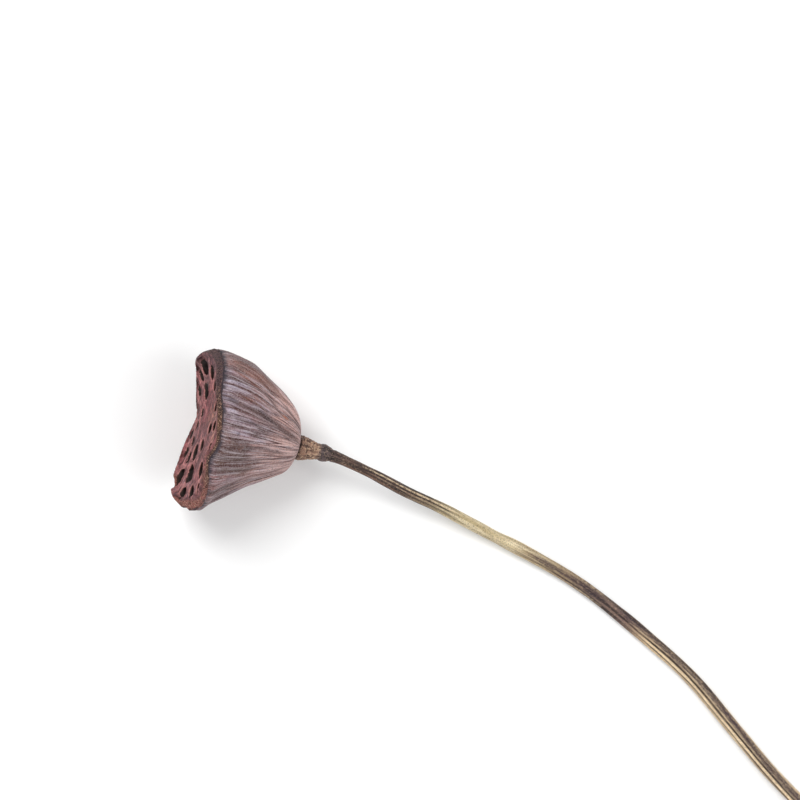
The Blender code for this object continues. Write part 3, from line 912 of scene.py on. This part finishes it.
stem = {
    "sides": 80,
    "length": 396.0 * mm,
    "seam": 0.3 * mm,
    "nearStep": 0.45 * mm,     # between rings, as far as nearEnd, and farStep past it
    "farStep": 1.1 * mm,
    "nearEnd": 26 * mm,
    "ribs": 7,
    # depths of the relief (mm)
    "ribDepth": 0.3,
    "scarDepth": 0.22,
    "collarGrit": 0.30,
    "knuckleGrit": 0.22,
    "grooveDepth": 0.17,
    "fineDepth": 0.07,
    # distance from the pod's foot, where the middle line starts, and radius (mm)
    "girth": [
        (0.0, 6.8), (3.0, 6.7), (6.5, 5.7), (10.5, 4.7), (13.2, 4.3), (14.6, 4.8), (16.8, 4.7),
        (19.0, 3.9), (22.0, 3.2), (31.0, 2.75), (42.0, 2.7), (55.0, 2.95), (80.0, 2.9),
        (104.0, 3.25), (116.0, 3.25), (128.0, 3.0), (140.0, 3.5), (160.0, 3.2), (200.0, 3.3),
        (260.0, 3.45), (330.0, 3.5), (396.0, 3.4),
    ],
    # the middle line: towards the face, to the right, height (mm)
    "route": [
        (0.0, 0.0, 30.6), (-18.7, -0.2, 26.6), (-41.4, 3.5, 21.8), (-64.6, 9.0, 16.9),
        (-87.3, 13.3, 12.2), (-115.3, 20.1, 7.4), (-146.0, 27.3, 4.3), (-174.5, 36.2, 3.2),
        (-206.7, 50.4, 2.9), (-241.4, 68.2, 3.3), (-270.3, 88.5, 3.8), (-301.0, 110.4, 3.8),
        (-345.0, 137.0, 3.0),
    ],
    # distance of both ends from the foot (mm), angle there, half width (degrees), strength.
    # Looking along the stem from the pod, 0 degrees is on top and 90 on the left
    "purple": [
        (146, 192, 6, 4, 26, 0.85), (154, 192, -44, -40, 10, 0.6), (205, 380, 36, 28, 38, 1.0),
        (134, 156, -28, -32, 6, 0.5), (22, 44, 30, 24, 16, 0.3),
    ],
    "straw": [
        (40, 97, 33, 26, 6, 0.95), (46, 100, -3, -8, 5, 0.3), (66, 104, -58, -50, 10, 0.2),
        (150, 190, 62, 60, 14, 0.4), (150, 190, -70, -66, 10, 0.5), (215, 290, 8, 2, 4, 0.6),
        (222, 380, -33, -38, 12, 0.95), (225, 380, -78, -76, 12, 0.6), (284, 380, 78, 80, 10, 0.7),
    ],
    "black": [
        (38, 98, 53, 46, 9, 0.95), (40, 96, 13, 8, 9, 0.95), (50, 96, -24, -22, 10, 0.7),
        (95, 150, -54, -48, 5, 0.5), (104, 136, 62, 64, 4, 0.3), (222, 380, -13, -18, 9, 1.0),
        (228, 380, -59, -56, 9, 0.9), (205, 280, 62, 56, 10, 0.8),
    ],
    # air canals in the cut end: place across it and radius (mm)
    "canals": [(0.0, 0.0, 0.75), (1.75, 0.3, 0.5), (0.75, 1.6, 0.55), (-0.9, 1.5, 0.5),
               (-1.75, 0.1, 0.55), (-0.9, -1.5, 0.5), (0.85, -1.45, 0.55)],
    "canalDepth": 9.0 * mm,
}


def stripeShare(kind, angle, run):
    # How much of a kind of stripe is at a place on the stem
    share = 0.0
    for low, high, lowTurn, highTurn, width, strength in stem[kind]:
        if low - 6 < run < high + 6:
            middle = lowTurn + (highTurn - lowTurn) * (run - low) / (high - low)
            middle += 3 * math.sin(run / 13 + low)
            away = abs(turnedFrom(angle, middle))
            fade = ease(run, low - 6, low + 6) * (1 - ease(run, high - 6, high + 6))
            share = max(share, strength * fade * (1 - ease(away / width, 0.55, 1.25)))
    return share


def stemAxes(route, lengths, run):
    # The middle line at a distance from the foot: its place there, and the ways sideways and up
    leg = 0
    while leg < len(lengths) - 2 and lengths[leg + 1] < run:
        leg += 1
    share = (run - lengths[leg]) / (lengths[leg + 1] - lengths[leg])
    here = route[leg].lerp(route[leg + 1], share)
    before = route[max(leg - 1, 0)]
    after = route[min(leg + 2, len(route) - 1)]
    ahead = (route[leg + 1] - before).lerp(after - route[leg], share).normalized()
    if leg == 0:
        ahead = -leanAxis          # square to the pod's foot
    sideways = Vector((0, 0, 1)).cross(ahead).normalized()
    return here, sideways, ahead.cross(sideways)


def makeStem(finishes):
    start = Vector((lie["foot"].x, lie["foot"].y, 0.0))
    route = [start + point * mm for point in smoothRoute(stem["route"], 24)]
    lengths = [0.0]
    for before, after in zip(route, route[1:]):
        lengths.append(lengths[-1] + (after - before).length)
    reach = lengths[-1] - 0.001 * mm

    girths = smoothRoute(stem["girth"], 12)
    girths = [(min(point[0] * mm / stem["length"], 1.0) * reach, point[1] * mm) for point in girths]
    rings = []
    run = stem["seam"]
    while run < reach:
        rings.append(run)
        run += stem["nearStep"] if run < stem["nearEnd"] else stem["farStep"]
    rings.append(reach)
    outline = [(0.0, -stem["seam"])] + [(readOff(girths, run, 1), -run) for run in rings]
    outline.append((0.0, -reach))
    bores = []
    for x, y, wide in stem["canals"]:
        bores.append(bmesh.new())
        bmesh.ops.create_cone(
            bores[-1], cap_ends=True, segments=14, radius1=wide * mm, radius2=wide * mm,
            depth=stem["canalDepth"] * 2, matrix=Matrix.Translation((x * mm, y * mm, -reach)),
        )
    shape = carved(spun(outline, stem["sides"]), bores)
    print("stem cut:", len(shape.verts), "points,", len(shape.faces), "faces")

    bmesh.ops.triangulate(shape, faces=shape.faces)
    numbers = shape.verts.layers.float
    threes = shape.verts.layers.float_vector
    grain = threes.new("grain")            # round the stem and along it
    along = numbers.new("along")           # distance from the pod, 0 to 1
    crest = numbers.new("crest")           # 1 on a rib, 0 in a groove
    inside = numbers.new("inside")         # 0 on the bark, 1 in the pith
    stripes = threes.new("stripes")        # shares of purple, straw and black
    for face in shape.faces:
        atEnd = face.normal.z < -0.8 and face.calc_center_median().z < -reach + 0.1 * mm
        face.material_index = 1 if atEnd else 0
    for vertex in shape.verts:
        x, y, z = vertex.co
        run = -z
        radius = math.hypot(x, y)
        angle = math.atan2(y, x)
        skin = readOff(girths, run, 1)
        outer = ease(radius / skin, 0.7, 0.97)
        ribs = math.cos(stem["ribs"] * angle + run / (55 * mm)) * ease(run, 12 * mm, 24 * mm)
        scars = math.cos(2 * stem["ribs"] * angle) * (1 - ease(run, 8 * mm, 15 * mm))
        scars *= ease(run, 0, 3 * mm)
        relief = stem["ribDepth"] * ribs + stem["scarDepth"] * scars
        ox = math.cos(angle)
        oy = math.sin(angle)
        collar = 1 - ease(run, 13.0 * mm, 15.5 * mm)
        knuckle = ease(run, 13 * mm, 15 * mm) * (1 - ease(run, 20 * mm, 25 * mm))
        rough = grit(ox * 3.2, oy * 3.2, run / (1.3 * mm), 3) * stem["collarGrit"] * collar
        rough += grit(ox * 2.6, oy * 2.6, run / (1.6 * mm), 2) * stem["knuckleGrit"] * knuckle
        grooves = grit(ox * 3.4, oy * 3.4, run / (34 * mm), 3) * stem["grooveDepth"] * (1 - collar)
        fineGrooves = grit(ox * 8.0, oy * 8.0, run / (16 * mm) + 4, 2) * stem["fineDepth"]
        fine = rough + grooves + fineGrooves * (1 - collar)
        radius += (relief + fine) * mm * outer
        radius *= 1 + 0.06 * math.cos(2 * angle - run / (90 * mm)) * ease(run, 20 * mm, 40 * mm)
        here, sideways, over = stemAxes(route, lengths, run)
        place = here + sideways * radius * oy + over * radius * ox
        place.z = onFloor(place.z)
        vertex[grain] = (ox, oy, run / (100 * mm))
        vertex[along] = run / reach
        vertex[crest] = 0.5 + 0.9 * (relief * 0.6 + fine * 1.8)
        vertex[inside] = 1 - outer
        vertex[stripes] = [stripeShare(kind, angle, run / mm) for kind in ("purple", "straw", "black")]
        vertex.co = inBox(place)
    piece("stemDried", shape, finishes, "dried_stem", "stem")


barkTones = {
    "zones": [
        # distance from the foot (mm), raised colour, sunk colour; the sunk colours are the stem's darker
        # streaks with painted shade in its grooves
        (0, (64, 46, 40), (30, 22, 20)),
        (1.6, (150, 114, 94), (74, 50, 40)),
        (10, (158, 124, 102), (78, 52, 42)),
        (11.8, (186, 150, 124), (112, 80, 62)),
        (13.0, (86, 72, 74), (44, 34, 36)),
        (20, (94, 74, 70), (42, 32, 28)),
        (32, (120, 90, 74), (54, 38, 32)),
        (66, (106, 80, 66), (42, 31, 27)),
        (84, (148, 128, 100), (58, 48, 38)),
        (95, (222, 205, 165), (150, 132, 96)),
        (108, (232, 216, 178), (190, 172, 130)),
        (138, (242, 226, 190), (212, 194, 154)),
        (150, (214, 196, 158), (150, 126, 96)),
        (172, (172, 148, 114), (90, 70, 56)),
        (190, (120, 98, 84), (54, 42, 38)),
        (217, (128, 102, 92), (58, 44, 42)),
        (236, (208, 180, 142), (100, 78, 62)),
        (280, (226, 200, 160), (128, 102, 80)),
        (380, (212, 186, 150), (116, 92, 74)),
    ],
    "purple": (58, 42, 52), "strawNear": (226, 202, 168), "strawFar": (246, 220, 180),
    "black": (40, 28, 26), "dot": (58, 40, 38), "fleck": (216, 184, 152),
    "inside": (46, 34, 28),
}


def makeStemBark():
    finish, tree, shader = newFinish("stemBark")
    grain = read(tree, "grain", "Vector")
    along = read(tree, "along")
    crest = read(tree, "crest")
    place = node(tree, "ShaderNodeTexCoord").outputs["Object"]
    strands = placed(tree, fibreGrain, Vector=grain, Across=2.6, Along=4.0, Waver=0.3)
    hairs = placed(tree, fibreGrain, Vector=grain, Across=7.0, Along=16.0, Waver=0.3)
    dots = placed(tree, specks, Vector=place, Scale=1500.0, Cover=0.2)
    flecks = placed(tree, specks, Vector=place, Scale=1000.0, Cover=0.16)
    freckles = placed(tree, specks, Vector=place, Scale=1250.0, Cover=0.27)
    knots = placed(tree, fibreGrain, Vector=grain, Across=2.2, Along=44.0, Waver=0.1)

    light = node(tree, "ShaderNodeValToRGB", {"Fac": along})
    dark = node(tree, "ShaderNodeValToRGB", {"Fac": along})
    for ramp, column in ((light, 1), (dark, 2)):
        stops = ramp.color_ramp.elements
        while len(stops) < len(barkTones["zones"]):
            stops.new(0.5)
        for stop, zone in zip(stops, barkTones["zones"]):
            stop.position = zone[0] * mm / stem["length"]
            stop.color = shade(*zone[column])
    # Ribs take the raised colours and grooves the sunk ones: the stem's own streaks, with painted shade
    # where the relief sinks
    raised = maths(tree, "MULTIPLY_ADD", strands["Threads"], 0.7, maths(tree, "MULTIPLY", crest, 0.8))
    raised = ranged(tree, raised, 0.45, 1.0)
    colour = tinted(tree, dark.outputs[0], light.outputs[0], raised)
    stripes = readThree(tree, "stripes")
    broken = ranged(tree, hairs["Threads"], 0.2, 0.6, (0.6, 1.0))
    broken = maths(tree, "MULTIPLY", broken, ranged(tree, freckles["Mask"], 0.0, 1.0, (1.0, 0.72)))
    colour = layered(tree, barkTones, colour, ("purple", stripes["X"], broken))
    beads = ranged(tree, knots["Threads"], 0.2, 0.6, (0.1, 1.0))
    beads = maths(tree, "MAXIMUM", beads, ranged(tree, along, 0.5, 0.6, (0.0, 0.7)))
    straw = maths(tree, "MULTIPLY", stripes["Y"], beads)
    farther = ranged(tree, along, 0.4, 0.6)
    strawTone = layered(tree, barkTones, "strawNear", ("strawFar", farther, 1.0))
    colour = tinted(tree, colour, strawTone, straw)
    onCollar = ranged(tree, along, 0.036, 0.030, (0.25, 0.7))
    # The inside tone darkens the walls of the air canals: painted shade in the bores
    colour = layered(
        tree, barkTones, colour,
        ("black", stripes["Z"], 0.9), ("dot", dots["Mask"], 0.45),
        ("fleck", flecks["Mask"], onCollar), ("inside", read(tree, "inside"), 1.0),
    )
    tree.links.new(colour, shader.inputs["Base Color"])
    tree.links.new(ranged(tree, hairs["Threads"], 0.0, 1.0, (0.8, 0.55)), shader.inputs["Roughness"])
    height = maths(tree, "MULTIPLY_ADD", strands["Height"], 1.2, hairs["Height"])
    height = maths(tree, "MULTIPLY_ADD", dots["Height"], 0.5, height)
    roughen(tree, shader, height, 0.7, 0.4 * mm)
    return finish


endTones = {"rind": (150, 122, 92), "pith": (196, 172, 136), "dot": (92, 68, 48)}


def makeCutEnd():
    finish, tree, shader = newFinish("stemCutEnd")
    place = node(tree, "ShaderNodeTexCoord").outputs["Object"]
    dots = placed(tree, specks, Vector=place, Scale=2400.0, Cover=0.22)
    inside = read(tree, "inside")
    colour = layered(tree, endTones, "rind", ("pith", inside, 1.0), ("dot", dots["Mask"], 0.7))
    tree.links.new(colour, shader.inputs["Base Color"])
    shader.inputs["Roughness"].default_value = 0.85
    roughen(tree, shader, dots["Height"], 0.6, 0.2 * mm)
    return finish


makeStem([makeStemBark(), makeCutEnd()])
print("stem made")


studio = {
    "middle": Vector((-101.2, -40.2, 0.0)) * mm,      # under the picture's middle
    "pictureRight": Vector((-0.968, -0.251, 0.0)),
    "pictureWidth": 440 * mm,
    "distance": 8.0,
    "nearHeight": 32 * mm,      # at this height the picture is pictureWidth wide
    # place from the middle, size and power of each soft box (m, m, W)
    "boxes": [
        ((0.75, -0.55, 1.5), 0.9, 19.0),
        ((-0.95, 0.1, 1.2), 1.2, 11.0),
        ((0.9, 0.6, 0.5), 0.8, 2.5),
    ],
    "sky": 0.38,
    "skyTone": (248, 249, 252),
    "floorTone": (250, 250, 249),
    "floorDrop": 0.02 * mm,      # keeps the floor clear of what rests on it
    "sensor": 36.0,
}


def makeStudio():
    scene = bpy.context.scene
    floorShape = bmesh.new()
    bmesh.ops.create_grid(floorShape, x_segments=2, y_segments=2, size=6.0)
    floor = newObject("floor", floorShape)
    floor.location.z = -studio["floorDrop"]
    paper, _, shader = newFinish("paleFloor")
    shader.inputs["Base Color"].default_value = shade(*studio["floorTone"])
    shader.inputs["Roughness"].default_value = 0.9
    floor.data.materials.append(paper)

    for number, (place, size, power) in enumerate(studio["boxes"]):
        lamp = bpy.data.lights.new(f"softBox{number}", "AREA")
        lamp.shape = "SQUARE"
        lamp.size = size
        lamp.energy = power
        box = bpy.data.objects.new(f"softBox{number}", lamp)
        scene.collection.objects.link(box)
        box.location = studio["middle"] + Vector(place)
        box.rotation_euler = (-Vector(place)).to_track_quat("-Z", "Y").to_euler()
    sky = bpy.data.worlds.new("studioSky")
    sky.use_nodes = True
    background = sky.node_tree.nodes["Background"]
    background.inputs["Color"].default_value = shade(*studio["skyTone"])
    background.inputs["Strength"].default_value = studio["sky"]
    scene.world = sky
    scene.view_settings.view_transform = "Standard"

    camera = bpy.data.cameras.new("overhead")
    camera.sensor_width = studio["sensor"]
    camera.lens = studio["sensor"] * (studio["distance"] - studio["nearHeight"]) / studio["pictureWidth"]
    camera.clip_start = 0.5
    camera.clip_end = 20.0
    holder = bpy.data.objects.new("overhead", camera)
    scene.collection.objects.link(holder)
    right = studio["pictureRight"].normalized()
    back = Vector((0, 0, 1))
    turn = Matrix((right, back.cross(right), back)).transposed().to_4x4()
    spot = studio["middle"] + Vector((0, 0, studio["distance"]))
    holder.matrix_world = Matrix.Translation(spot) @ turn
    scene.camera = holder


makeStudio()
print("studio made")
